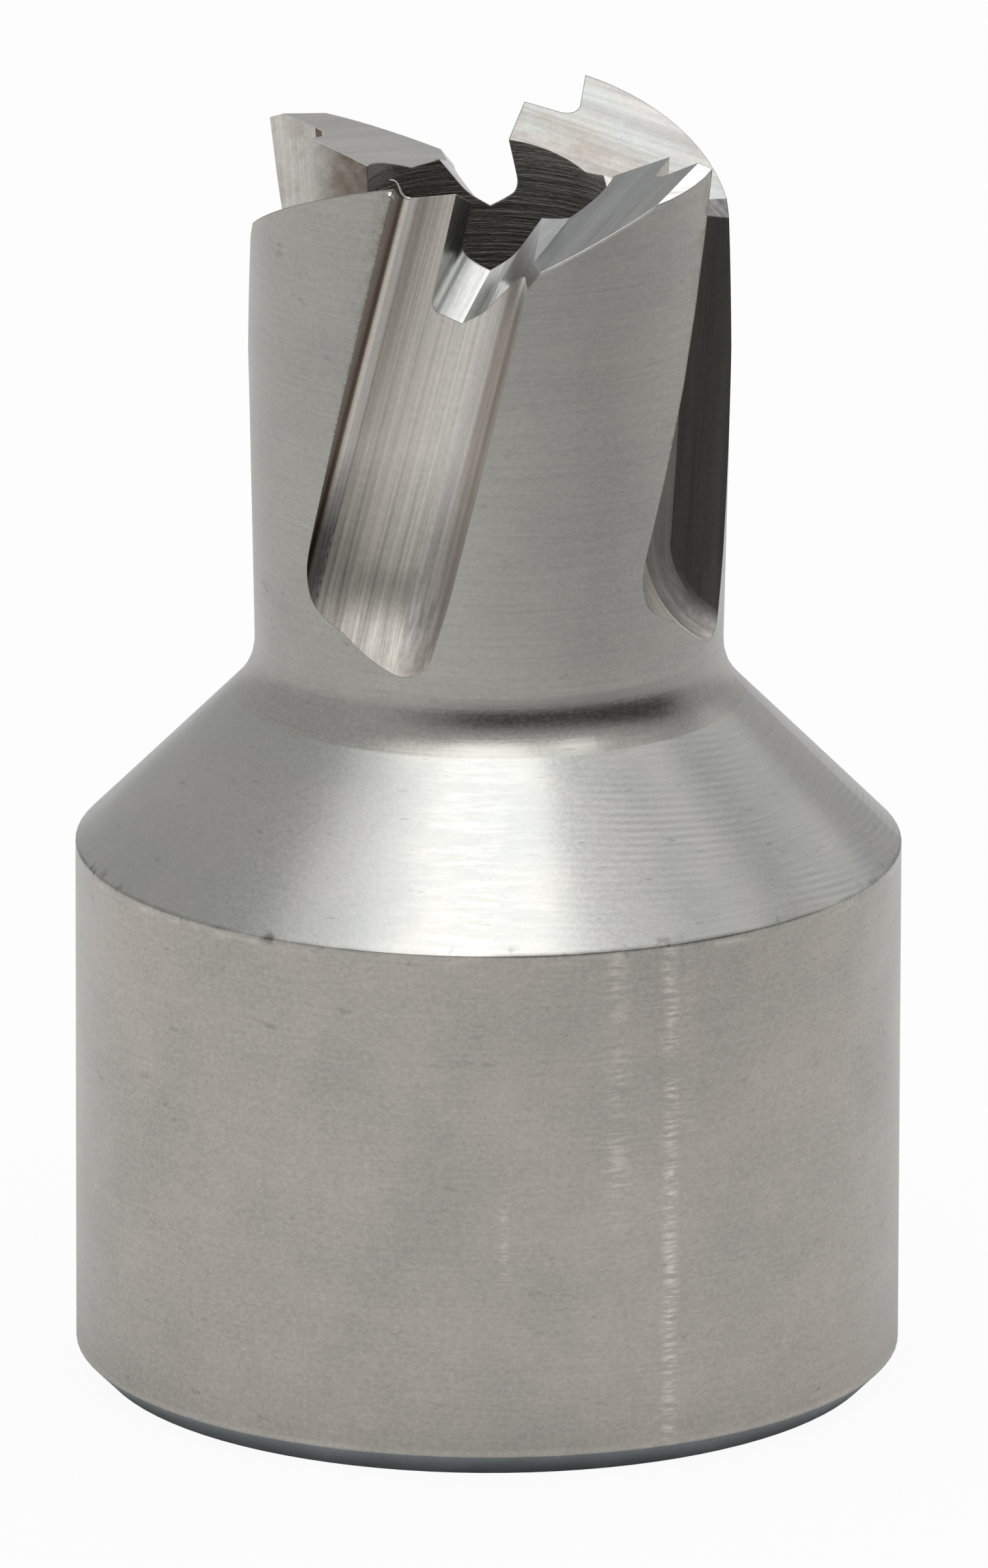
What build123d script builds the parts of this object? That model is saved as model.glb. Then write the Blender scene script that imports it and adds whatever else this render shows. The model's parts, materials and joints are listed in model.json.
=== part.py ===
from build123d import *
from math import cos, radians, sin, tan
import os

# Shank and shoulder, turned
shank_diameter = 19.05
shank_edge_chamfer = 0.55
shoulder_height = 12.48
shoulder_angle = 45.0

# Cutting barrel, turned with a slight back taper
cutting_diameter = 11.09
taper_top_height = 24.2
neck_diameter = 10.76
neck_fillet = 1.75
blank_height = 29.8

# Inside: arbor socket at the major diameter of its thread, drill point, slug bore
socket_diameter = 12.7
socket_depth = 9.5
socket_mouth_diameter = 13.9
drill_point_angle = 118.0
slug_bore_diameter = 5.7

# Teeth. Bearings are degrees round the axis from -Y, positive towards +X.
tooth_count = 4
tip_bearing = -23.3
tip_height = 29.33

# Land of each tooth, one sloping plane, with a raised lip where it meets the gullet
land_slope = 23.9
land_rise_bearing = 5.0
lip_start_bearing = -50.2
lip_slope = 25.8
lip_fall_bearing = -42.6
land_cut_end_bearing = 3.0
land_cut_floor = 26.5

# Outer bevel that every second tooth has
bevel_back_bearing = -46.8
bevel_slope = 24.0
bevel_fall_bearing = -57.7

# Straight milled flutes, the section seen square to the floor
flute_lean = 0.24
flute_dive = 0.066
flute_floor_distance = 4.10
flute_reference_height = 28.8
flute_depth = 2.4
rake_corner_offset = -1.94
rake_corner_extra_depth = 0.40
rake_corner_radius = 0.35
rake_wall_angle = 12.6
floor_ridge_offset = -0.85
back_corner_offset = 1.12
back_wall_angle = 4.0
back_corner_radius = 0.8
runout_height = 20.35
runout_radius = 2.6
runout_arc = 100.0

# Gullets ground through the web, outwards and down, the section seen along the cut
gullet_bearing = -31.0
gullet_fall_angle = 38.5
gullet_bottom_height = 26.82
gullet_height = 4.0
gullet_knee_offset = -0.62
gullet_knee_height = 0.50
gullet_knee_radius = 0.35
gullet_wall_lean = 16.0
gullet_heel_offset = 0.45
gullet_heel_height = 0.06
gullet_heel_radius = 0.5
gullet_flank_width = 2.4
gullet_flank_angle = 38.0

shank_radius = shank_diameter / 2
cutting_radius = cutting_diameter / 2
neck_radius = neck_diameter / 2
socket_radius = socket_diameter / 2
socket_mouth_radius = socket_mouth_diameter / 2
slug_radius = slug_bore_diameter / 2
neck_height = shoulder_height + (shank_radius - neck_radius) * tan(radians(shoulder_angle))
drill_point_height = (socket_radius - slug_radius) / tan(radians(drill_point_angle / 2))
tooth_pitch = 360 / tooth_count


def around(bearing, radius, height):
    """Point at a bearing from the front, a radius from the axis and a height."""
    turn = radians(bearing)
    return Vector(radius * sin(turn), -radius * cos(turn), height)


def ground_plane(point, fall_bearing, slope):
    """Plane through a point, facing up, that falls towards a bearing."""
    facing = around(fall_bearing, sin(radians(slope)), cos(radians(slope)))
    return Plane(origin=point, z_dir=facing)


def land_point(bearing, radius):
    """Point on the first tooth's land."""
    climb = tan(radians(land_slope))
    from_tip = radius * cos(radians(bearing - land_rise_bearing))
    from_tip -= cutting_radius * cos(radians(tip_bearing - land_rise_bearing))
    return around(bearing, radius, tip_height + from_tip * climb)


def ground_away(*planes):
    """What a wheel takes off the first tooth's quarter of the crown, above every plane."""
    with BuildPart() as quarter:
        with BuildSketch(Plane.XY.offset(land_cut_floor)):
            with BuildLine():
                Polyline(
                    (0, 0),
                    around(land_cut_end_bearing, shank_radius, 0),
                    around(land_cut_end_bearing - tooth_pitch / 2, shank_diameter, 0),
                    around(land_cut_end_bearing - tooth_pitch, shank_radius, 0),
                    close=True,
                )
            make_face()
        extrude(amount=blank_height)
        for plane in planes:
            split(bisect_by=plane, keep=Keep.TOP)
    return quarter.part


# Turned blank with the bore and the socket
with BuildPart() as cutter_body:
    with BuildSketch(Plane.XZ) as half_section:
        with BuildLine():
            Polyline(
                (socket_mouth_radius, 0),
                (shank_radius - shank_edge_chamfer, 0),
                (shank_radius, shank_edge_chamfer),
                (shank_radius, shoulder_height),
                (neck_radius, neck_height),
                (cutting_radius, taper_top_height),
                (cutting_radius, blank_height),
                (slug_radius, blank_height),
                (slug_radius, socket_depth + drill_point_height),
                (socket_radius, socket_depth),
                (socket_radius, socket_mouth_radius - socket_radius),
                close=True,
            )
        make_face()
        neck_corner = half_section.vertices().sort_by_distance((neck_radius, neck_height))[0]
        fillet(neck_corner, radius=neck_fillet)
    revolve(axis=Axis.Z)

# One flute: a straight pass of the mill, then the arc it leaves where it lifts out
flute_direction = Vector(-flute_lean, flute_dive, -1).normalized()
flute_across = Vector(1, 0, -flute_lean).normalized()
flute_drop = flute_reference_height - runout_height
flute_origin = Vector(
    -flute_lean * flute_drop,
    flute_dive * flute_drop - flute_floor_distance,
    runout_height,
)
flute_plane = Plane(origin=flute_origin, x_dir=flute_across, z_dir=flute_direction)
lift_axis = Axis(
    origin=flute_plane.from_local_coords((0, runout_radius, 0)),
    direction=-flute_plane.x_dir,
)
rake_wall_spread = (flute_depth + rake_corner_extra_depth) * tan(radians(rake_wall_angle))
back_wall_spread = flute_depth * tan(radians(back_wall_angle))

with BuildPart() as flute_tool:
    with BuildSketch(flute_plane) as flute_section:
        with BuildLine():
            Polyline(
                (rake_corner_offset, -rake_corner_extra_depth),
                (floor_ridge_offset, 0),
                (back_corner_offset, 0),
                (back_corner_offset + back_wall_spread, flute_depth),
                (rake_corner_offset - rake_wall_spread, flute_depth),
                close=True,
            )
        make_face()
        rake_corner = (rake_corner_offset, -rake_corner_extra_depth)
        fillet(flute_section.vertices().sort_by_distance(rake_corner)[0], radius=rake_corner_radius)
        back_corner = (back_corner_offset, 0)
        fillet(flute_section.vertices().sort_by_distance(back_corner)[0], radius=back_corner_radius)
    extrude(amount=-blank_height / 2)
    revolve(flute_section.sketch, axis=lift_axis, revolution_arc=runout_arc)

# One gullet: a formed wheel pushed out through the web, deepest at the outside
fall = radians(gullet_fall_angle)
gullet_plane = Plane(
    origin=around(0, slug_radius, gullet_bottom_height),
    x_dir=around(gullet_bearing + 90, 1, 0),
    z_dir=around(gullet_bearing, cos(fall), -sin(fall)),
)
wall_rise = gullet_height - gullet_knee_height
wall_spread = wall_rise * tan(radians(gullet_wall_lean))
flank_rise = gullet_flank_width * tan(radians(gullet_flank_angle))

with BuildPart() as gullet_tool:
    with BuildSketch(gullet_plane) as gullet_section:
        with BuildLine():
            Polyline(
                (gullet_knee_offset, gullet_knee_height),
                (0, 0),
                (gullet_heel_offset, gullet_heel_height),
                (gullet_heel_offset + gullet_flank_width, gullet_heel_height + flank_rise),
                (gullet_heel_offset + gullet_flank_width, gullet_height),
                (gullet_knee_offset + wall_spread, gullet_height),
                close=True,
            )
        make_face()
        knee = (gullet_knee_offset, gullet_knee_height)
        fillet(gullet_section.vertices().sort_by_distance(knee)[0], radius=gullet_knee_radius)
        heel = (gullet_heel_offset, gullet_heel_height)
        fillet(gullet_section.vertices().sort_by_distance(heel)[0], radius=gullet_heel_radius)
    extrude(amount=cutting_radius)
    extrude(gullet_section.sketch, amount=-slug_radius / cos(fall))

# What is ground off one tooth, and the bevel of every second one
lip_start = land_point(lip_start_bearing, slug_radius)
bevel_back = land_point(bevel_back_bearing, cutting_radius)
land_tool = ground_away(
    ground_plane(lip_start, land_rise_bearing + 180, land_slope),
    ground_plane(lip_start, lip_fall_bearing, lip_slope),
)
bevel_tool = ground_away(ground_plane(bevel_back, bevel_fall_bearing, bevel_slope))

with cutter_body:
    with PolarLocations(0, tooth_count):
        add(flute_tool.part, mode=Mode.SUBTRACT)
        add(gullet_tool.part, mode=Mode.SUBTRACT)
        add(land_tool, mode=Mode.SUBTRACT)
    with PolarLocations(0, tooth_count // 2, start_angle=tooth_pitch):
        add(bevel_tool, mode=Mode.SUBTRACT)

cutter_body.part.label = "cutter_body"
os.makedirs("parts", exist_ok=True)
export_step(cutter_body.part, "parts/cutter_body.step")
print("solids", len(cutter_body.part.solids()), "faces", len(cutter_body.part.faces()))
print("height", round(cutter_body.part.bounding_box().max.Z, 3))
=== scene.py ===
import json
from math import atan2, cos, hypot, pi, radians, sin, tan

import bpy
from mathutils import Euler, Matrix, Vector
from mathutils.geometry import interpolate_bezier


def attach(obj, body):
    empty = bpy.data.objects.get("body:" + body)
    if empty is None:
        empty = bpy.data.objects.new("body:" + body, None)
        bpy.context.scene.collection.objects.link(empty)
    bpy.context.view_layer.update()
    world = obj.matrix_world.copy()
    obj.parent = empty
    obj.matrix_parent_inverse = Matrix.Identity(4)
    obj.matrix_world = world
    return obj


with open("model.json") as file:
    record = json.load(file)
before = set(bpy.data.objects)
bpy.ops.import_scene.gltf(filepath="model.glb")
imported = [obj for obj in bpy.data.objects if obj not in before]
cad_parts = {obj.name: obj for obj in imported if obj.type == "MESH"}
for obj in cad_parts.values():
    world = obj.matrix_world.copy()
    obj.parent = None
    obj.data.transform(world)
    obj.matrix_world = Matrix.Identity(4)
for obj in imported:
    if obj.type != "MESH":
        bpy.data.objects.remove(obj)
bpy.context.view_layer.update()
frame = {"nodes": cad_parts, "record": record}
cutter = frame["nodes"]["cutter_body"]
mounts = {mount["name"]: mount for mount in frame["record"]["mounts"]}
mm = 0.001
noiseMean = 0.5
print("frame loaded")


# Small helpers for shader trees

def newFinish(name, **sockets):
    finish = bpy.data.materials.new(name)
    finish.use_nodes = True
    tree = finish.node_tree
    shader = tree.nodes["Principled BSDF"]
    for socket, value in sockets.items():
        shader.inputs[socket.replace("_", " ")].default_value = value
    return finish, tree, shader


def setInput(tree, socket, value):
    if isinstance(value, bpy.types.NodeSocket):
        tree.links.new(value, socket)
    elif socket.type == "RGBA" and len(value) == 3:
        socket.default_value = (*value, 1)
    else:
        socket.default_value = value


def addNode(tree, kind, inputs=None, **settings):
    node = tree.nodes.new("ShaderNode" + kind)
    for name, value in settings.items():
        setattr(node, name, value)
    for socket, value in (inputs or {}).items():
        setInput(tree, node.inputs[socket], value)
    return node


def calc(tree, operation, first, second=0.0):
    return addNode(tree, "Math", {0: first, 1: second}, operation=operation).outputs[0]


def addUp(tree, *values):
    total = values[0]
    for value in values[1:]:
        total = calc(tree, "ADD", total, value)
    return total


def times(tree, *values):
    product = values[0]
    for value in values[1:]:
        product = calc(tree, "MULTIPLY", product, value)
    return product


def remap(tree, value, low, high, newLow=0.0, newHigh=1.0):
    inputs = {"Value": value, "From Min": low, "From Max": high, "To Min": newLow, "To Max": newHigh}
    return addNode(tree, "MapRange", inputs).outputs["Result"]


def bump(tree, value, centre, halfWidth):  # 1 at the centre, fading to 0 at the half width
    away = calc(tree, "ABSOLUTE", calc(tree, "SUBTRACT", value, centre))
    return remap(tree, away, 0.0, halfWidth, 1.0, 0.0)


def tint(tree, amount, low, high, blend="MIX"):
    node = addNode(tree, "Mix", {0: amount}, data_type="RGBA", blend_type=blend)
    setInput(tree, node.inputs[6], low)
    setInput(tree, node.inputs[7], high)
    return node.outputs[2]


def grain(tree, point, scale, seed, detail=3.0, roughness=0.6):
    stretched = addNode(tree, "VectorMath", {0: point, 1: scale}, operation="MULTIPLY").outputs[0]
    inputs = {"Vector": stretched, "W": seed, "Scale": 1.0, "Detail": detail, "Roughness": roughness}
    return addNode(tree, "TexNoise", inputs, noise_dimensions="4D").outputs[0]


def blots(tree, point, scale, seed, low, high, least=0.0, most=1.0, detail=3.0, roughness=0.6):
    return remap(tree, grain(tree, point, scale, seed, detail, roughness), low, high, least, most)


def swing(tree, noise, low, high):  # a grain lies mostly between 0.3 and 0.7
    return remap(tree, noise, 0.3, 0.7, low, high)


def shaded(tree, colour, shade):
    white = addNode(tree, "CombineXYZ", {0: shade, 1: shade, 2: shade}).outputs[0]
    return tint(tree, 1.0, colour, white, "MULTIPLY")


def localPoint(tree, turn):  # millimetres, turned so that x runs along the cut and z across it
    place = addNode(tree, "TexCoord").outputs["Object"]
    inputs = {"Vector": place, "Rotation": turn}
    turned = addNode(tree, "VectorRotate", inputs, rotation_type="EULER_XYZ", invert=True).outputs[0]
    return addNode(tree, "VectorMath", {0: turned, "Scale": 1000.0}, operation="SCALE").outputs[0]


def turnedPoint(tree):  # bearing in degrees from the front, radius and height in millimetres
    place = addNode(tree, "TexCoord").outputs["Object"]
    x, y, z = addNode(tree, "SeparateXYZ", {0: place}).outputs
    bearing = times(tree, calc(tree, "ARCTAN2", x, times(tree, y, -1.0)), 180 / pi)
    radius = calc(tree, "SQRT", addUp(tree, times(tree, x, x), times(tree, y, y)))
    return bearing, times(tree, radius, 1000.0), times(tree, z, 1000.0), place


def surfaceAt(tree):  # the lap's third way runs down the slopes and across the faced ends
    bearing, radius, height, place = turnedPoint(tree)
    spot = addNode(tree, "VectorMath", {0: place, "Scale": 1000.0}, operation="SCALE").outputs[0]
    x, y, _ = addNode(tree, "SeparateXYZ", {0: spot}).outputs
    down = addUp(tree, height, times(tree, radius, -1.0))
    lap = addNode(tree, "CombineXYZ", {0: x, 1: y, 2: down}).outputs[0]
    return {"bearing": bearing, "height": height, "spot": spot, "lap": lap}


def softEdges(tree, radius):
    return addNode(tree, "Bevel", {"Radius": radius * mm}, samples=6).outputs[0]


def relief(tree, shader, height, depth, edge):
    inputs = {"Height": height, "Distance": depth * mm, "Normal": softEdges(tree, edge)}
    setInput(tree, shader.inputs["Normal"], addNode(tree, "Bump", inputs).outputs[0])


# bearings and slopes of the first tooth's cuts; the other teeth repeat it round the axis
toothCount = 4
tooth = {
    "tip": radians(-23.3),
    "tipHeight": 29.33,
    "fluteLean": 0.24,
    "fluteDive": 0.066,
    "fluteDistance": 4.10,
    "fluteHeight": 28.8,
    "gulletBearing": radians(-31.0),
    "gulletFall": radians(38.5),
    "landStreak": radians(-23.7),
    "landRise": radians(5.0),
    "landSlope": radians(23.9),
    "bevelFall": radians(-57.7),
    "bevelSlope": radians(24.0),
    "bevelStreak": radians(27.0),
}


# Turned and ground surfaces: shank, shoulder, barrel, ends and bores

steel = {
    "colour": (0.50, 0.475, 0.445),
    "cool": (0.465, 0.455, 0.43),
    "clouds": (0.30, 0.30, 0.30),
    "cloudShade": 0.035,
    "worms": (8.5, 8.5, 11.0),  # fine mottle
    "wormShade": 0.09,
    "lineRun": 0.3,  # turning lines: the smaller this is, the longer they run
    "lines": 16.0,  # and the larger this is, the closer they lie
    "lineShade": 0.05,
    "lineShare": 0.5,
    "wormShare": 0.6,
    "lineSide": None,  # bearings between which the lines come up
    "flecks": {
        "scale": (1.6, 1.6, 16.0), "seed": 4.0, "low": 0.64, "high": 0.76, "most": 0.10,
        "detail": 2.0, "roughness": 0.5,
    },
    "specks": {"scale": (1.3, 1.3, 3.2), "seed": 13.0, "low": 0.64, "high": 0.72, "most": -0.20},
    "stain": None,
    "marks": (),  # what draws each kind of wear or painted highlight, and its settings
    "roughness": 0.26,
    "depth": 0.003,
    "edge": 0.05,
}


def rubShade(tree, rubs, at):  # light columns rubbed along the shank
    rubbed = times(tree, blots(tree, at["lap"], **rubs["grain"]), blots(tree, at["lap"], **rubs["patches"]))
    bearing = addUp(tree, at["bearing"], blots(tree, at["lap"], **rubs["wander"]))
    shades = []
    for middle, halfWidth, strength, height, reach in rubs["columns"]:
        ends = times(tree, bump(tree, at["height"], height, reach), rubs["endFade"])
        ends = calc(tree, "MINIMUM", ends, 1.0)
        shades.append(times(tree, bump(tree, bearing, middle, halfWidth), ends, rubbed, strength))
    return addUp(tree, *shades)


def scratchShade(tree, scratches, at):
    strokes = blots(tree, at["lap"], **scratches["strokes"])
    side = bump(tree, at["bearing"], scratches["bearing"], scratches["halfWidth"])
    return times(tree, strokes, side, scratches["strength"])


def chatterShade(tree, chatter, at):  # waves that climb slantwise round the shoulder
    turn = times(tree, at["bearing"], chatter["count"] * pi / 180)
    wave = calc(tree, "SINE", addUp(tree, times(tree, at["height"], chatter["climb"]), turn))
    side = remap(tree, at["bearing"], chatter["from"], chatter["full"])
    return times(tree, wave, blots(tree, at["spot"], **chatter["patches"]), side, chatter["strength"])


def hoopShade(tree, hoops, at):  # worn lines, nicks and scrapes, and painted highlight lines, that run round the axis
    shades = []
    for hoop in hoops:
        shade = times(tree, bump(tree, at["height"], hoop["height"], hoop["halfWidth"]), hoop["strength"])
        if "patches" in hoop:
            shade = times(tree, shade, blots(tree, at["spot"], **hoop["patches"]))
        shades.append(shade)
    return addUp(tree, *shades)


def paintedHighlightLine(tree, line, at):  # painted highlight: a bright line that follows the edge of one land round the barrel
    climb = calc(tree, "COSINE", times(tree, addUp(tree, at["bearing"], -line["rise"]), pi / 180))
    climb = addUp(tree, climb, -cos(radians(line["tip"] - line["rise"])))
    edge = addUp(tree, times(tree, climb, line["radius"] * tan(tooth["landSlope"])), tooth["tipHeight"])
    above = addUp(tree, at["height"], times(tree, edge, -1.0))
    return times(
        tree,
        remap(tree, above, -line["width"], -line["fullWidth"]),
        remap(tree, at["bearing"], line["from"], line["fullFrom"]),
        remap(tree, at["bearing"], line["to"], line["fullTo"]),
        line["strength"],
    )


def fromRake(tree, stain, at):  # degrees from the nearest rake edge
    pitch = 360 / toothCount
    drop = addUp(tree, at["height"], -tooth["tipHeight"])
    lean = times(tree, drop, addUp(tree, times(tree, drop, -stain["curve"]), -stain["slant"]))
    bearing = addUp(tree, at["bearing"], lean, pitch / 2 - stain["tip"])
    return addUp(tree, calc(tree, "FLOORED_MODULO", bearing, pitch), -pitch / 2)


def stained(tree, stain, at, colour, shade):  # brown stain mottle, and a ragged dark line of painted shade along the rake edges
    away = fromRake(tree, stain, at)
    share = times(
        tree,
        remap(tree, away, -stain["width"], -stain["fullWidth"]),
        remap(tree, away, stain["past"], stain["fullPast"]),
        remap(tree, at["height"], stain["low"], stain["high"]),
        blots(tree, at["spot"], **stain["mottle"]),
        stain["strength"],
    )
    line = remap(tree, calc(tree, "ABSOLUTE", away), blots(tree, at["spot"], **stain["ragged"]), 0.0)
    foot = remap(tree, at["height"], stain["lineLow"], stain["lineHigh"])
    shade = addUp(tree, shade, times(tree, line, foot, stain["lineShade"]))
    return tint(tree, share, colour, stain["colour"]), shade


def turnedFinish(name, **changes):
    look = {**steel, **changes}
    finish, tree, shader = newFinish(name, Metallic=1.0, Roughness=look["roughness"])
    at = surfaceAt(tree)
    clouds = grain(tree, at["spot"], look["clouds"], 1.0)
    worms = grain(tree, at["spot"], look["worms"], 2.0)
    lines = grain(tree, at["lap"], (look["lineRun"], look["lineRun"], look["lines"]), 3.0, 4.0, 0.7)
    if look["lineSide"]:
        side = remap(tree, at["bearing"], *look["lineSide"])
        lines = addUp(tree, times(tree, addUp(tree, lines, -noiseMean), side), noiseMean)

    colour = tint(tree, remap(tree, clouds, 0.36, 0.64), look["colour"], look["cool"])
    shade = addUp(
        tree,
        swing(tree, worms, 1 - look["wormShade"], 1 + look["wormShade"]),
        swing(tree, lines, -look["lineShade"], look["lineShade"]),
        swing(tree, clouds, look["cloudShade"], -look["cloudShade"]),
        blots(tree, at["lap"], **look["flecks"]),
        blots(tree, at["lap"], **look["specks"]),
    )
    for draw, settings in look["marks"]:
        shade = addUp(tree, shade, draw(tree, settings, at))
    if look["stain"]:
        colour, shade = stained(tree, look["stain"], at, colour, shade)
    setInput(tree, shader.inputs["Base Color"], shaded(tree, colour, shade))
    rough = swing(tree, worms, look["roughness"] - 0.03, look["roughness"] + 0.04)
    setInput(tree, shader.inputs["Roughness"], addUp(tree, rough, swing(tree, clouds, -0.02, 0.02)))
    height = addUp(tree, times(tree, lines, look["lineShare"]), times(tree, worms, look["wormShare"]))
    relief(tree, shader, height, look["depth"], look["edge"])
    return finish


shankRubs = {
    "grain": {"scale": (1.4, 1.4, 10.0), "seed": 5.0, "low": 0.46, "high": 0.58},
    "patches": {
        "scale": (0.3, 0.3, 0.6), "seed": 6.0, "low": 0.34, "high": 0.52, "least": 0.15,
        "detail": 2.0, "roughness": 0.5,
    },
    "wander": {"scale": (0.0, 0.0, 0.7), "seed": 7.0, "low": 0.0, "high": 1.0, "least": -0.9, "most": 0.9},
    "endFade": 3.0,
    "columns": (  # bearing, half width, strength, middle height and half length
        (2.4, 1.0, 0.30, 6.0, 1.6),
        (2.4, 0.8, 0.20, 12.0, 1.0),
        (18.0, 2.6, 0.34, 9.6, 5.0),
        (26.0, 1.5, 0.60, 6.6, 8.5),
        (28.6, 2.4, 0.14, 10.5, 3.4),
        (118.0, 2.2, 0.35, 7.0, 5.0),
        (-141.0, 2.6, 0.35, 8.0, 6.0),
    ),
}
shoulderTop = 12.48
shoulderEdge = (  # a dark line, nicks, and a scraped band just below
    {
        "height": shoulderTop, "halfWidth": 0.07, "strength": -0.6,
        "patches": {"scale": (0.3, 0.3, 0.0), "seed": 9.0, "low": 0.42, "high": 0.62},
    },
    {
        "height": shoulderTop, "halfWidth": 0.22, "strength": -0.55,
        "patches": {"scale": (1.5, 1.5, 0.9), "seed": 10.0, "low": 0.58, "high": 0.66},
    },
    {
        "height": shoulderTop - 0.14, "halfWidth": 0.14, "strength": 0.3,
        "patches": {"scale": (0.5, 0.5, 1.5), "seed": 15.0, "low": 0.48, "high": 0.62},
    },
)
# painted highlight: a light line round the shank's foot, just above the chamfer
footHighlight = {"height": 0.62, "halfWidth": 0.12, "strength": 0.16}
shoulderScratches = {
    "strokes": {
        "scale": (0.9, 0.9, 4.5), "seed": 14.0, "low": 0.46, "high": 0.62, "least": -0.4,
        "roughness": 0.65,
    },
    "bearing": -3.0,
    "halfWidth": 17.0,
    "strength": 0.10,
}
shoulderChatter = {
    "count": 32,
    "climb": 44.0,
    "from": 6.0,
    "full": 26.0,
    "patches": {"scale": (0.25, 0.25, 0.4), "seed": 8.0, "low": 0.42, "high": 0.62},
    "strength": 0.09,
}
rakeStainAndShade = {
    "tip": -23.25,
    "slant": 2.593,
    "curve": -0.0196,
    "width": 4.2,
    "fullWidth": 0.4,
    "past": 2.0,
    "fullPast": 0.6,
    "low": 23.5,
    "high": 28.0,
    "mottle": {
        "scale": (4.0, 4.0, 2.5), "seed": 11.0, "low": 0.40, "high": 0.62,
        "detail": 4.0, "roughness": 0.65,
    },
    "strength": 0.6,
    "colour": (0.27, 0.20, 0.15),
    "ragged": {
        "scale": (0.0, 0.0, 9.0), "seed": 12.0, "low": 0.4, "high": 0.7, "least": 0.2, "most": 1.6,
        "roughness": 0.7,
    },
    # the ragged dark line: painted shade along the rake edge
    "lineLow": 20.9,
    "lineHigh": 21.3,
    "lineShade": -0.5,
}
paintedEdgeHighlight = {  # painted highlight: a bright line where the second tooth's land meets the barrel
    "rise": 95.0,
    "tip": 66.7,
    "radius": 5.545,
    "width": 0.09,
    "fullWidth": 0.03,
    "from": 9.0,
    "fullFrom": 15.0,
    "to": 44.0,
    "fullTo": 41.0,
    "strength": 0.7,
}
turnedZones = {
    "shank": turnedFinish(
        "ground_shank", colour=(0.525, 0.49, 0.45), cool=(0.485, 0.46, 0.425), wormShade=0.13,
        marks=((rubShade, shankRubs), (hoopShade, (*shoulderEdge, footHighlight))),
    ),
    "shoulder": turnedFinish(
        "turned_shoulder", colour=(0.49, 0.48, 0.455), cool=(0.455, 0.46, 0.44), wormShade=0.06, roughness=0.24,
        lineRun=0.5, lines=17.0, lineShade=0.08, lineShare=0.4, lineSide=(-4.0, 30.0),
        marks=((scratchShade, shoulderScratches), (chatterShade, shoulderChatter), (hoopShade, shoulderEdge)),
    ),
    "barrel": turnedFinish(
        "ground_barrel", colour=(0.465, 0.45, 0.415), cool=(0.435, 0.43, 0.40), lineShade=0.07, stain=rakeStainAndShade,
        marks=((paintedHighlightLine, paintedEdgeHighlight),),
    ),
    # painted reflection: the chamfer is coloured bluer than the rest of the steel, to stand in for the blue-grey
    # that it mirrors
    "rim": turnedFinish("base_chamfer", colour=(0.50, 0.54, 0.57), cool=(0.40, 0.435, 0.45), roughness=0.3),
    "base": turnedFinish("faced_base", roughness=0.3, depth=0.006, lines=10.0),
    "socket": turnedFinish("socket_wall", colour=(0.34, 0.33, 0.31), cool=(0.26, 0.26, 0.25), roughness=0.33),
    "bore": turnedFinish(
        "slug_bore_wall", colour=(0.40, 0.385, 0.355), cool=(0.33, 0.325, 0.30), roughness=0.42, depth=0.025,
        lineRun=0.22, lines=7.0, lineShade=0.12, lineShare=1.6,
    ),
}
print("turned finishes made")


# Milled flutes, ground lands and gullets, each with its streaks turned to its own tooth

# distance from the middle of the flute to the axis, measured across the leaning cut
fluteZero = tooth["fluteLean"] * tooth["fluteHeight"] / hypot(1, tooth["fluteLean"])


def turned(number, way):
    return Matrix.Rotation(number * 2 * pi / toothCount, 3, "Z") @ way


def turnFor(number, ways):
    along, across = (turned(number, way).normalized() for way in ways)
    return Matrix((along, across.cross(along), across)).transposed().to_euler()


def fluteWays():
    lean = tooth["fluteLean"]
    return Vector((-lean, tooth["fluteDive"], -1)), Vector((1, 0, -lean)).normalized()


def gulletWays():
    bearing, fall = tooth["gulletBearing"], tooth["gulletFall"]
    out = Vector((sin(bearing), -cos(bearing), 0))
    return out * cos(fall) - Vector((0, 0, sin(fall))), Vector((cos(bearing), sin(bearing), 0))


def landWays():
    streak, rise = tooth["landStreak"], tooth["landRise"]
    along = Vector((cos(streak), sin(streak), 0))
    uphill = Vector((sin(rise), -cos(rise), 0))
    facing = (Vector((0, 0, 1)) - uphill * tan(tooth["landSlope"])).normalized()
    along.z = along.dot(uphill) * tan(tooth["landSlope"])
    return along, along.cross(facing)


def bevelFacing():
    fall, slope = tooth["bevelFall"], tooth["bevelSlope"]
    return Vector((sin(fall) * sin(slope), -cos(fall) * sin(slope), cos(slope)))


def bevelWays():
    streak, facing = tooth["bevelStreak"], bevelFacing()
    along = Vector((sin(streak), -cos(streak), 0))
    along.z = -along.dot(facing) / facing.z
    return along, along.cross(facing)


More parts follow.
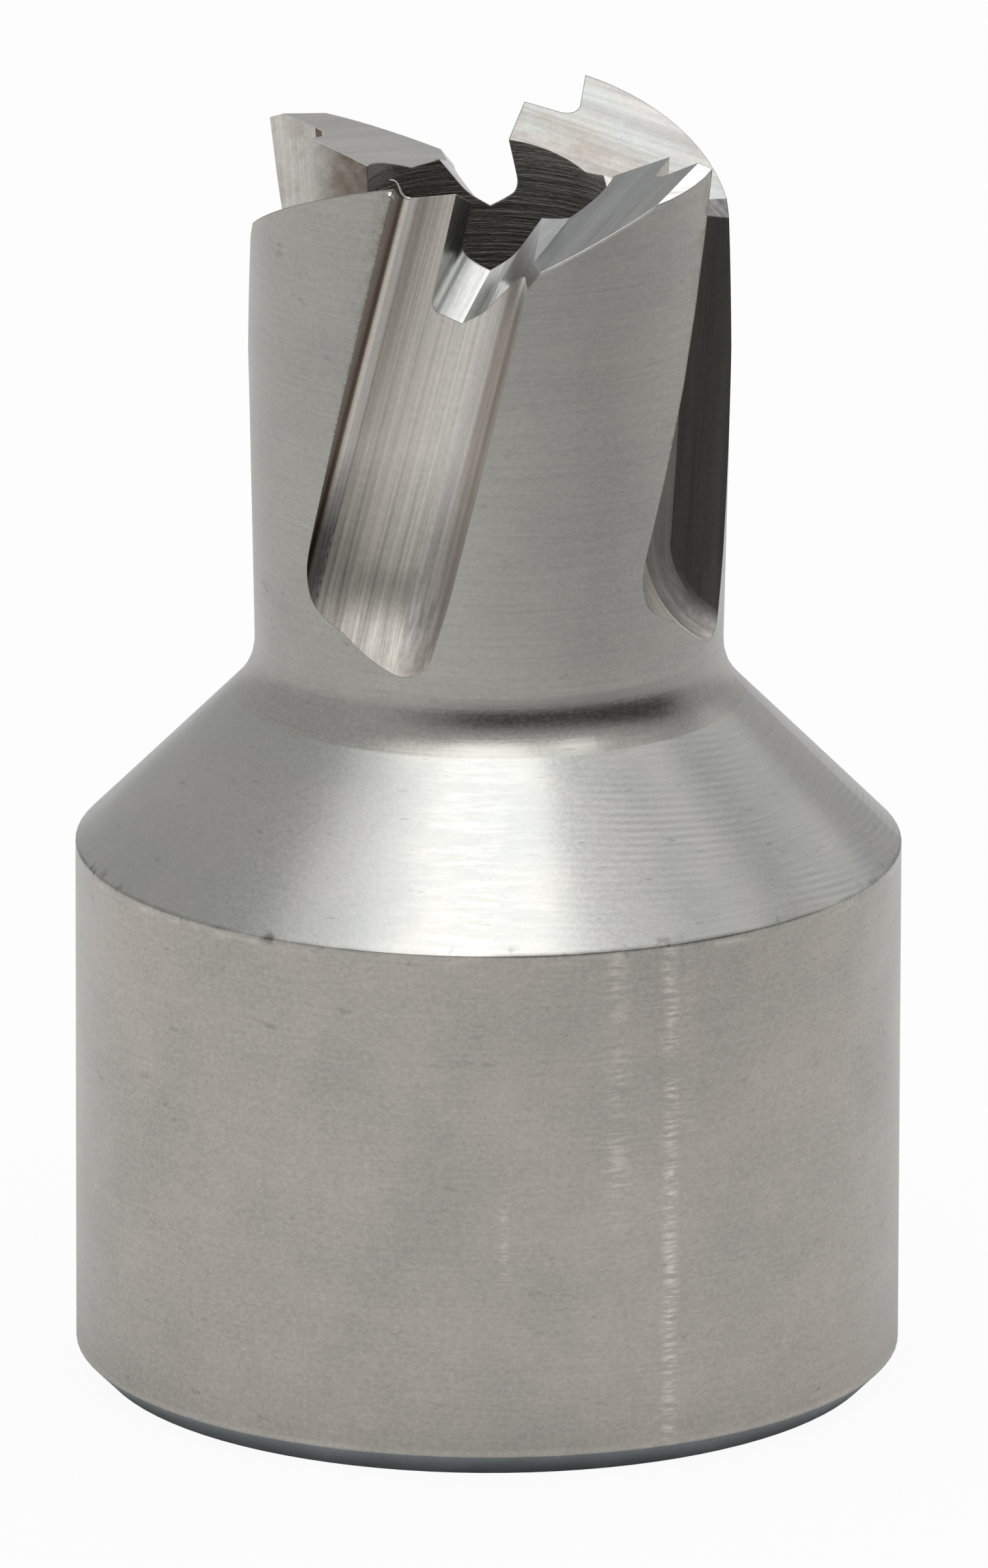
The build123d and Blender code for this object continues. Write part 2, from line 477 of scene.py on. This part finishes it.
cutLook = {
    "colour": (0.56, 0.53, 0.495),
    "dark": (0.44, 0.415, 0.385),
    "cool": (0.48, 0.49, 0.48),
    "patch": 0.35,
    "patches": (0.5, 0.9, 0.9),
    "broad": (0.05, 2.2, 2.2),  # streaks: how close along the cut, and both ways across it
    "broadShare": 0.8,
    "fine": (0.22, 13.0, 13.0),
    "fineShade": 0.12,
    "speckle": (8.0, 8.0, 8.0),
    "speckleShade": 0.05,
    "speckleShare": 0.25,
    "zero": 0.0,
    "bands": (),  # each starts, is full, and takes over from the one before, going across the cut
    "rust": 0.0,
    "boreRust": 0.0,
    "rustColour": (0.30, 0.23, 0.17),
    "outerPaintedShade": 0.0,
    # painted shade where the mill lifts out: how dark, how much stays at the end, and how much more towards the
    # rake side
    "runOut": 0.0,
    "tail": 0.0,
    "rootShade": 0.0,
    "roughness": 0.28,
    "sideways": 0.0,
    "depth": 0.004,
    "edge": 0.035,
}
rust = {"scale": (1.1, 1.6, 1.6), "low": 0.50, "high": 0.66, "detail": 4.0, "roughness": 0.65}
boreRust = {"scale": (1.8, 1.8, 1.8), "low": 0.36, "high": 0.60, "detail": 4.0, "roughness": 0.65}
boreRustReach = (4.4, 3.3)  # radii where it starts and is full
# radii over which a gullet is painted darker outwards: painted shade
outerReach = (4.3, 4.6)
# heights between which the mill lifts out of a flute; there the flute is painted darker (painted shade), with
# stronger streaks and rougher steel
runOut = {
    "from": 22.8,
    "dark": 20.6,
    "darkEnd": 18.5,
    "to": 17.8,
    "rough": 0.2,
    "streaks": 0.35,
    "rootFrom": -0.7,
    "rootFull": -1.8,
    "least": 0.2,
}


def cutFinish(name, number, ways, **changes):
    look = {**cutLook, **changes}
    seed = 10.0 * number
    finish, tree, shader = newFinish(name, Metallic=1.0, Roughness=look["roughness"], Anisotropic=look["sideways"])
    if look["sideways"]:
        around = addNode(tree, "Tangent", direction_type="RADIAL", axis="Z").outputs[0]
        setInput(tree, shader.inputs["Tangent"], around)
    _, radius, height, _ = turnedPoint(tree)
    spot = localPoint(tree, turnFor(number, ways))
    across = addUp(tree, addNode(tree, "SeparateXYZ", {0: spot}).outputs[2], look["zero"])
    broad = grain(tree, spot, look["broad"], seed + 1.0, 2.0, 0.5)
    fine = grain(tree, spot, look["fine"], seed + 2.0, 4.0, 0.7)
    patches = grain(tree, spot, look["patches"], seed + 3.0)
    speckle = grain(tree, spot, look["speckle"], seed + 4.0, 2.0, 0.5)

    colour = tint(tree, remap(tree, broad, 0.35, 0.65), look["dark"], look["colour"])
    colour = tint(tree, remap(tree, patches, 0.45, 0.7, 0.0, look["patch"]), colour, look["cool"])
    for start, full, bandColour in look["bands"]:
        colour = tint(tree, remap(tree, across, start, full), colour, bandColour)
    if look["boreRust"]:
        share = times(tree, remap(tree, radius, *boreRustReach), blots(tree, spot, seed=seed + 6.0, **boreRust))
        colour = tint(tree, times(tree, share, look["boreRust"]), colour, look["rustColour"])
    if look["rust"]:
        share = times(tree, blots(tree, spot, seed=seed + 5.0, **rust), look["rust"])
        colour = tint(tree, share, colour, look["rustColour"])

    streaks = swing(tree, fine, -look["fineShade"], look["fineShade"])
    shade = addUp(tree, 1.0, streaks, swing(tree, speckle, -look["speckleShade"], look["speckleShade"]))
    rough = remap(tree, fine, 0.25, 0.75, look["roughness"] + 0.06, look["roughness"] - 0.05)
    if look["outerPaintedShade"]:
        shade = addUp(tree, shade, remap(tree, radius, *outerReach, 0.0, -look["outerPaintedShade"]))
    # painted shade in the run-out, darker towards the rake side; the steel there is also rougher, with stronger
    # streaks
    if look["runOut"]:
        lifted = times(
            tree,
            remap(tree, height, runOut["from"], runOut["dark"]),
            remap(tree, height, runOut["to"], runOut["darkEnd"], look["tail"], 1.0),
        )
        root = times(tree, lifted, remap(tree, across, runOut["rootFrom"], runOut["rootFull"]))
        shade = addUp(
            tree,
            shade,
            times(tree, lifted, -look["runOut"]),
            times(tree, lifted, streaks, runOut["streaks"]),
            times(tree, root, -look["rootShade"]),
        )
        shade = calc(tree, "MAXIMUM", shade, runOut["least"])
        rough = addUp(tree, rough, times(tree, lifted, runOut["rough"]))
    setInput(tree, shader.inputs["Base Color"], shaded(tree, colour, shade))
    setInput(tree, shader.inputs["Roughness"], rough)
    height = addUp(
        tree, fine, times(tree, broad, look["broadShare"]), times(tree, speckle, look["speckleShare"]),
    )
    relief(tree, shader, height, look["depth"], look["edge"])
    return finish


# painted light and shade: the teeth are cut alike, so most changes for each, from the front tooth round to the
# left one, are lighter or darker colours that stand in for how the light falls on it; the rust shares are real
# rust
landTones = (
    {},
    # painted shade on the second tooth's land
    {"colour": (0.41, 0.415, 0.405), "dark": (0.30, 0.305, 0.30), "cool": (0.38, 0.405, 0.40)},
    {
        "dark": (0.38, 0.365, 0.345), "cool": (0.47, 0.515, 0.505), "boreRust": 0.75,
        "rustColour": (0.35, 0.315, 0.275),
    },
    # painted highlight on the left tooth's land
    {"colour": (0.61, 0.60, 0.575), "dark": (0.52, 0.51, 0.485), "cool": (0.57, 0.575, 0.555)},
)
# painted highlight on the front flute's corner; painted shade on the second one's, darker towards its wall and at
# the run-out's end
cornerTones = (
    {"colour": (0.84, 0.80, 0.76), "dark": (0.68, 0.64, 0.60)},
    {"tail": 0.7, "bands": ((0.85, 1.35, (0.20, 0.195, 0.18)),)},
    {},
    {},
)
# the front rake face is dark brown, partly stain and partly painted shade; the left one is near white, a painted
# highlight, with some rust
rakeTones = (
    {"colour": (0.38, 0.33, 0.275), "dark": (0.27, 0.225, 0.185), "cool": (0.32, 0.285, 0.24)},
    {},
    {},
    {"colour": (0.95, 0.93, 0.885), "dark": (0.80, 0.775, 0.73), "cool": (0.86, 0.87, 0.85), "rust": 0.35},
)
# painted highlight on the front flute's back wall, painted shade on the second one's
wallTones = (
    {"colour": (0.66, 0.63, 0.595), "dark": (0.50, 0.47, 0.44)},
    {"colour": (0.31, 0.30, 0.275), "dark": (0.22, 0.21, 0.19), "cool": (0.26, 0.265, 0.25)},
    {},
    {},
)
# the second tooth's bevel is painted near white, a painted highlight; the left one's is a little darker
bevelTones = {
    1: {"colour": (0.88, 0.88, 0.865), "dark": (0.55, 0.55, 0.54), "cool": (0.80, 0.82, 0.81)},
    3: {"colour": (0.50, 0.49, 0.475), "dark": (0.41, 0.40, 0.385), "cool": (0.46, 0.465, 0.45)},
}
# painted shade on the front gullet with a painted highlight band across it, painted shade outwards on the second,
# painted highlight on the third and fourth; rust near the bore on the last three
gulletTones = (
    {
        "colour": (0.42, 0.425, 0.41), "dark": (0.34, 0.345, 0.335), "zero": -1.468,
        "bands": ((-0.40, -0.05, (0.66, 0.66, 0.64)),),
    },
    {"boreRust": 0.3, "outerPaintedShade": 0.75},
    {"colour": (0.92, 0.915, 0.90), "dark": (0.76, 0.75, 0.73), "boreRust": 0.1},
    {"colour": (0.74, 0.72, 0.69), "dark": (0.56, 0.535, 0.505), "boreRust": 0.85, "fineShade": 0.06},
)
cutZones = {}
for number in range(toothCount):
    # the flute floor is painted lighter towards the back wall (painted highlight), and darker where the mill lifts
    # out (painted shade)
    cutZones["flute", number] = cutFinish(
        f"milled_flute_{number}", number, fluteWays(), colour=(0.70, 0.665, 0.605), dark=(0.55, 0.52, 0.465),
        broad=(0.05, 0.4, 2.2), fine=(0.05, 0.5, 11.0), fineShade=0.19, roughness=0.4, sideways=0.6, patch=0.2,
        depth=0.006, runOut=0.14, rootShade=0.35, tail=0.5,
        zero=fluteZero, bands=((-0.9, 0.2, (0.80, 0.77, 0.715)),),
    )
    # the root in the rake corner is dark brown: partly brown stain, partly painted shade in the corner
    cutZones["root", number] = cutFinish(
        f"flute_root_{number}", number, fluteWays(), colour=(0.26, 0.205, 0.165), dark=(0.17, 0.13, 0.105),
        cool=(0.22, 0.19, 0.16), roughness=0.4, fine=(0.05, 0.5, 11.0), fineShade=0.2, runOut=0.35, rootShade=0.5,
        tail=0.6, zero=fluteZero, bands=((-1.93, -1.87, (0.90, 0.86, 0.79)), (-1.80, -1.74, (0.62, 0.585, 0.555))),
    )
    corner = {"colour": (0.74, 0.705, 0.67), "dark": (0.58, 0.545, 0.51), "cool": (0.64, 0.63, 0.61), "tail": 0.6}
    cutZones["corner", number] = cutFinish(
        f"flute_corner_{number}", number, fluteWays(), roughness=0.4, fine=(0.05, 2.0, 9.0), fineShade=0.16,
        runOut=0.30, zero=fluteZero, **{**corner, **cornerTones[number]},
    )
    cutZones["wall", number] = cutFinish(f"flute_wall_{number}", number, fluteWays(), **wallTones[number])
    rake = {"colour": (0.66, 0.635, 0.605), "dark": (0.50, 0.47, 0.44), "rust": 0.5}
    cutZones["rake", number] = cutFinish(
        f"rake_face_{number}", number, fluteWays(), roughness=0.42, rustColour=(0.44, 0.36, 0.30),
        **{**rake, **rakeTones[number]},
    )
    land = {"colour": (0.53, 0.51, 0.485), "dark": (0.40, 0.385, 0.365), "cool": (0.48, 0.525, 0.515)}
    cutZones["land", number] = cutFinish(
        f"ground_land_{number}", number, landWays(), broad=(0.07, 1.5, 1.5), fine=(0.14, 7.0, 7.0), fineShade=0.14,
        patch=0.75, depth=0.0022, **{**land, **landTones[number]},
    )
    if number in bevelTones:
        cutZones["bevel", number] = cutFinish(
            f"ground_bevel_{number}", number, bevelWays(), broad=(0.3, 3.4, 3.4), fine=(0.5, 7.0, 7.0),
            fineShade=0.25, patch=0.3, depth=0.003, **bevelTones[number],
        )
    gullet = {"colour": (0.60, 0.595, 0.58), "dark": (0.44, 0.445, 0.435)}
    cutZones["gullet", number] = cutFinish(
        f"ground_gullet_{number}", number, gulletWays(), fine=(0.5, 9.0, 9.0), depth=0.003,
        **{**gullet, **gulletTones[number]},
    )
print("cut finishes made")


# The one solid's faces are told apart by where they lie and which way they look

zoneLimits = {  # heights, radii and offsets in millimetres
    "baseTop": 0.02,
    "chamferTop": 0.56,
    "chamferRadius": 9.0,
    "socketTop": 11.55,
    "socketRadius": 7.0,
    "boreRadius": 3.0,
    "shankRadius": 9.4,
    "shoulderTop": 16.7,
    "neckTop": 17.36,
    "barrelRadius": 5.3,
    "landLow": 25.0,
    "gulletLow": 26.2,
    "rakeSide": -1.3,
    "wallSide": 0.25,
}
fromTipToLand = radians(22)


def toothAt(bearing, home):
    return round((bearing - home) / (2 * pi / toothCount)) % toothCount


def turnedZoneOf(centre, facing):
    radius = hypot(centre.x, centre.y)
    outward = centre.xy.dot(facing.xy) / max(radius, 0.1)
    if centre.z < zoneLimits["baseTop"]:
        return "base"
    if centre.z < zoneLimits["chamferTop"] and radius > zoneLimits["chamferRadius"]:
        return "rim"
    if centre.z < zoneLimits["socketTop"] and radius < zoneLimits["socketRadius"]:
        return "socket"
    if radius < zoneLimits["boreRadius"] and outward < -0.9:
        return "bore"
    if radius > zoneLimits["shankRadius"] and outward > 0.9:
        return "shank"
    if centre.z < zoneLimits["shoulderTop"] and abs(outward - facing.z) < 0.02:
        return "shoulder"
    upright = outward > 0.97 and abs(facing.z) < 0.1
    if radius > zoneLimits["barrelRadius"] and (centre.z < zoneLimits["neckTop"] or upright):
        return "barrel"
    return None


def gulletNumber(centre, facing):  # the gullet whose way out the face lies along
    least = 0.6 * hypot(centre.x, centre.y) * cos(tooth["gulletFall"])
    for number in range(toothCount):
        way = turned(number, gulletWays()[0])
        along = facing.dot(way) ** 2 < 0.001 and centre.z > zoneLimits["gulletLow"]
        if along and way.xy.dot(centre.xy) > least:
            return number
    return None


def fluteZoneOf(centre, facing):
    drop = tooth["fluteHeight"] - centre.z
    home = atan2(-tooth["fluteLean"] * drop, tooth["fluteDistance"] - tooth["fluteDive"] * drop)
    number = toothAt(atan2(centre.x, -centre.y), home)
    across = turned(number, fluteWays()[1])
    start = turned(number, Vector((0, -tooth["fluteDistance"], tooth["fluteHeight"])))
    offset, tilt = across.dot(centre - start), across.dot(facing)
    if offset < zoneLimits["rakeSide"] and tilt > -0.3:
        return ("rake" if tilt > 0.93 else "root"), number
    if offset > zoneLimits["wallSide"] and tilt < -0.12:
        return ("wall" if tilt < -0.97 else "corner"), number
    return "flute", number


def zoneOf(face):
    centre, facing = face.center / mm, face.normal
    zone = turnedZoneOf(centre, facing)
    if zone:
        return zone
    if facing.z > 0.86 and centre.z > zoneLimits["landLow"]:
        number = toothAt(atan2(centre.x, -centre.y), tooth["tip"] - fromTipToLand)
        bevelled = ("bevel", number) in cutZones and facing.dot(turned(number, bevelFacing())) > 0.999
        return ("bevel" if bevelled else "land"), number
    number = gulletNumber(centre, facing)
    return fluteZoneOf(centre, facing) if number is None else ("gullet", number)


finishes = {**turnedZones, **cutZones}
cutter.data.materials.clear()
for finish in finishes.values():
    cutter.data.materials.append(finish)
slots = {zone: place for place, zone in enumerate(finishes)}
for face in cutter.data.polygons:
    face.material_index = slots[zoneOf(face)]
print("zones painted")


def addPiece(name, points, faces, finish):  # points in millimetres
    mesh = bpy.data.meshes.new(name)
    mesh.from_pydata([point * mm for point in points], [], faces)
    mesh.materials.append(finish)
    piece = bpy.data.objects.new(name, mesh)
    bpy.context.scene.collection.objects.link(piece)
    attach(piece, "root")


# Thread of the arbor socket: one ridge wound up its wall

thread = {
    "pitch": 1.27,
    "reach": 0.65,
    "crestWidth": 0.16,
    "footWidth": 1.10,
    "start": 1.0,
    "end": 8.7,
    "stepsPerTurn": 72,
    "fadeTurns": 1 / 3,
    "least": 0.02,
    "sunk": 0.03,
}


def windThread(look):
    wall = mounts["arbor_socket"]["dims"]["r_mm"]
    stepsPerTurn = look["stepsPerTurn"]
    steps = int((look["end"] - look["start"]) / look["pitch"] * stepsPerTurn)
    fade = round(stepsPerTurn * look["fadeTurns"])
    points, faces = [], []
    for step in range(steps + 1):
        turn = 2 * pi * step / stepsPerTurn
        height = look["start"] + look["pitch"] * step / stepsPerTurn
        share = max(look["least"], min(1, step / fade, (steps - step) / fade))  # runs out at both ends
        foot, crest = wall + look["sunk"], wall - look["reach"] * share
        for radius, offset in (
            (foot, -look["footWidth"] / 2),
            (crest, -look["crestWidth"] / 2),
            (crest, look["crestWidth"] / 2),
            (foot, look["footWidth"] / 2),
        ):
            points.append(Vector((radius * cos(turn), radius * sin(turn), height + offset)))
        if step:
            last = 4 * (step - 1)
            for corner in range(4):
                after = (corner + 1) % 4
                faces.append((last + corner, last + 4 + corner, last + 4 + after, last + after))
    faces += [(0, 1, 2, 3), tuple(4 * steps + corner for corner in (3, 2, 1, 0))]
    addPiece("arbor_thread", points, faces, turnedZones["socket"])


windThread(thread)
print("arbor thread wound")


# Burr that the grinding left at the front tooth's tip: a rolled ledge outside and a curl inside

burr = {
    "curl": ((-1.82, -4.10, 28.83), (-2.14, -4.10, 28.85), (-1.98, -3.95, 29.25), (-2.29, -3.90, 29.22)),
    "curlSteps": 16,
    "thick": 0.034,
    "thin": 0.012,
    "sides": 6,
    "ledge": ((-25.3, 0.0), (-24.8, 0.10), (-24.2, 0.15), (-23.7, 0.13), (-23.3, 0.02)),  # bearing and reach
    "ledgeRadius": 5.50,
    "ledgeHeights": (29.28, 29.18, 29.06),
}


def rollBurr(look):
    points, faces = [], []
    sides = look["sides"]
    knots = [Vector(knot) for knot in look["curl"]]
    path = interpolate_bezier(*knots, look["curlSteps"])
    for step, middle in enumerate(path):
        share = step / (len(path) - 1)
        radius = look["thick"] + (look["thin"] - look["thick"]) * share
        along = (path[min(step + 1, len(path) - 1)] - path[max(step - 1, 0)]).normalized()
        aside = along.cross(Vector((0, 1, 0))).normalized()
        for side in range(sides):
            turn = 2 * pi * side / sides
            points.append(middle + (aside * cos(turn) + aside.cross(along) * sin(turn)) * radius)
            if step:
                here, after = sides * step + side, sides * step + (side + 1) % sides
                faces.append((here - sides, after - sides, after, here))
    lastRing = range(sides * (len(path) - 1), sides * len(path))
    faces += [tuple(range(sides)), tuple(reversed(lastRing))]
    first = len(points)
    for place, (bearing, reach) in enumerate(look["ledge"]):
        turn = radians(bearing)
        for height, out in zip(look["ledgeHeights"], (0, reach, 0)):
            radius = look["ledgeRadius"] + out
            points.append(Vector((radius * sin(turn), -radius * cos(turn), height)))
        if place:
            last = first + 3 * (place - 1)
            for row in range(3):
                after = (row + 1) % 3
                faces.append((last + row, last + after, last + 3 + after, last + 3 + row))
    end = len(points) - 3
    faces += [(first, first + 2, first + 1), (end, end + 1, end + 2)]
    finish, _, _ = newFinish("burr_steel", Base_Color=(0.55, 0.545, 0.53, 1), Metallic=1.0, Roughness=0.4)
    addPiece("tip_burr", points, faces, finish)


rollBurr(burr)
print("burr rolled")


# Floor: the camera sees it white with a soft shadow, and the steel sees it grey

floorLook = {
    "half": 3.0,
    "colour": (0.72, 0.72, 0.72),
    "roughness": 0.9,
    "shine": 0.1,
    "white": 0.94,
    "footRadius": 9.0,
    "footEdge": 0.5,
    "dimBearing": 55,
    "dimHalfWidth": 75,
    "dimFrom": 26,
    "dimTo": 70,
    "dim": 0.34,
}


def layFloor(look):
    half = look["half"]
    corners = [(-half, -half, 0), (half, -half, 0), (half, half, 0), (-half, half, 0)]
    mesh = bpy.data.meshes.new("floor")
    mesh.from_pydata(corners, [], [(0, 1, 2, 3)])
    floor = bpy.data.objects.new("floor", mesh)
    bpy.context.scene.collection.objects.link(floor)
    finish, tree, shader = newFinish("pale_floor", Roughness=look["roughness"], Specular_IOR_Level=look["shine"])
    bearing, distance, _, _ = turnedPoint(tree)
    rays = addNode(tree, "LightPath")
    dim = times(  # painted shade, seen only in reflections: the floor that the barrel mirrors is darkened as if the card shaded it
        tree,
        rays.outputs["Is Glossy Ray"],
        remap(tree, distance, look["dimFrom"], look["dimTo"]),
        bump(tree, bearing, look["dimBearing"], look["dimHalfWidth"]),
        look["dim"],
    )
    setInput(tree, shader.inputs["Base Color"], tint(tree, dim, look["colour"], (0, 0, 0)))
    glow = addNode(tree, "Emission", {"Color": (1, 1, 1), "Strength": 1.0})
    # dark inside the bore
    clear = remap(tree, distance, look["footRadius"] - look["footEdge"], look["footRadius"])
    blend = addNode(tree, "MixShader", {0: times(tree, rays.outputs["Is Camera Ray"], look["white"], clear)})
    setInput(tree, blend.inputs[1], shader.outputs[0])
    setInput(tree, blend.inputs[2], glow.outputs[0])
    setInput(tree, tree.nodes["Material Output"].inputs["Surface"], blend.outputs[0])
    mesh.materials.append(finish)


layFloor(floorLook)
print("floor laid")


# Light: a pale room, soft boxes overhead and round the top, and a dark card on the camera's side

studio = {
    "room": 0.50,
    "lamps": {
        "overhead": {"place": (0.0, -0.12, 0.62), "size": (0.35, 0.82), "radiance": 1.35},
        "wide": {"place": (0.0, 0.0, 0.66), "size": (0.92, 1.0), "radiance": 0.4},
        "overheadLeft": {"place": (-0.225, -0.04, 0.62), "size": (0.09, 0.62), "radiance": 0.9},
        "farLeft": {"place": (-0.33, 0.0, 0.62), "size": (0.12, 0.52), "radiance": 0.25},
        "farRight": {"place": (0.53, 0.13, 0.62), "size": (0.16, 0.40), "radiance": 0.45},
        "frontRight": {"place": (0.39, -0.30, 0.62), "size": (0.24, 0.20), "radiance": 1.35},
        "backTop": {"place": (0.20, 0.44, 0.62), "size": (0.20, 0.22), "radiance": 1.6},
        "rightBack": {"place": (0.52, 0.46, 0.42), "size": (0.30, 0.40), "radiance": 0.3, "aimed": True},
    },
    "aim": (0, 0, 0.016),
    "card": {
        "radius": 0.5,
        "from": -48,
        "to": 112,
        "low": 0.004,
        "high": 0.34,
        "fullHigh": 0.2,
        "fullFrom": -4,
        "fullTo": 90,
        "tone": 0.02,
        "cover": 0.93,
        "panels": 24,
    },
}


def lightStudio(look):
    scene = bpy.context.scene
    scene.world = bpy.data.worlds.new("studio")
    scene.world.use_nodes = True
    tree = scene.world.node_tree
    seen = calc(tree, "MAXIMUM", addNode(tree, "LightPath").outputs["Is Camera Ray"], look["room"])
    room = tree.nodes["Background"]
    setInput(tree, room.inputs["Color"], (1, 1, 1))
    setInput(tree, room.inputs["Strength"], seen)
    for name, lamp in look["lamps"].items():
        light = bpy.data.lights.new(name, "AREA")
        light.shape = "RECTANGLE"
        light.size, light.size_y = lamp["size"]
        light.energy = lamp["radiance"] * pi * light.size * light.size_y
        holder = bpy.data.objects.new(name, light)
        scene.collection.objects.link(holder)
        holder.location = lamp["place"]
        if lamp.get("aimed"):
            aim = Vector(look["aim"]) - Vector(lamp["place"])
            holder.rotation_euler = aim.to_track_quat("-Z", "Y").to_euler()


def standCard(card):
    points = []
    for panel in range(card["panels"] + 1):
        bearing = radians(card["from"] + (card["to"] - card["from"]) * panel / card["panels"])
        for height in (card["low"], card["high"]):
            points.append((card["radius"] * sin(bearing), -card["radius"] * cos(bearing), height))
    faces = [(2 * panel, 2 * panel + 1, 2 * panel + 3, 2 * panel + 2) for panel in range(card["panels"])]
    mesh = bpy.data.meshes.new("dark_card")
    mesh.from_pydata(points, [], faces)
    tone = card["tone"]
    finish, tree, shader = newFinish(
        "dark_card", Base_Color=(tone, tone, tone, 1), Roughness=1.0, Specular_IOR_Level=0.0,
    )
    bearing, _, height, _ = turnedPoint(tree)  # the card fades out at its sides and its top
    left = remap(tree, bearing, card["from"], card["fullFrom"])
    right = remap(tree, bearing, card["to"], card["fullTo"])
    top = remap(tree, height, card["high"] / mm, card["fullHigh"] / mm)
    setInput(tree, shader.inputs["Alpha"], times(tree, left, right, top, card["cover"]))
    mesh.materials.append(finish)
    stand = bpy.data.objects.new("dark_card", mesh)
    bpy.context.scene.collection.objects.link(stand)
    stand.visible_camera = stand.visible_diffuse = stand.visible_shadow = False


lightStudio(studio)
standCard(studio["card"])
print("studio lit")


# Camera at the photograph's angle

view = {"place": (0, -0.57604, 0.18237), "tilt": 16.313, "pan": 0.0123, "roll": 0.160, "lens": 598.2, "film": 36}
lens = bpy.data.cameras.new("camera")
lens.sensor_fit = "VERTICAL"
lens.sensor_height = view["film"]
lens.lens = view["lens"]
lens.clip_start = 0.05
camera = bpy.data.objects.new("camera", lens)
bpy.context.scene.collection.objects.link(camera)
camera.location = view["place"]
level = Euler((radians(90 - view["tilt"]), 0, radians(-view["pan"]))).to_matrix()
camera.rotation_euler = (level @ Matrix.Rotation(radians(view["roll"]), 3, "Z")).to_euler()
bpy.context.scene.camera = camera
bpy.context.scene.view_settings.view_transform = "Standard"
print("camera set")
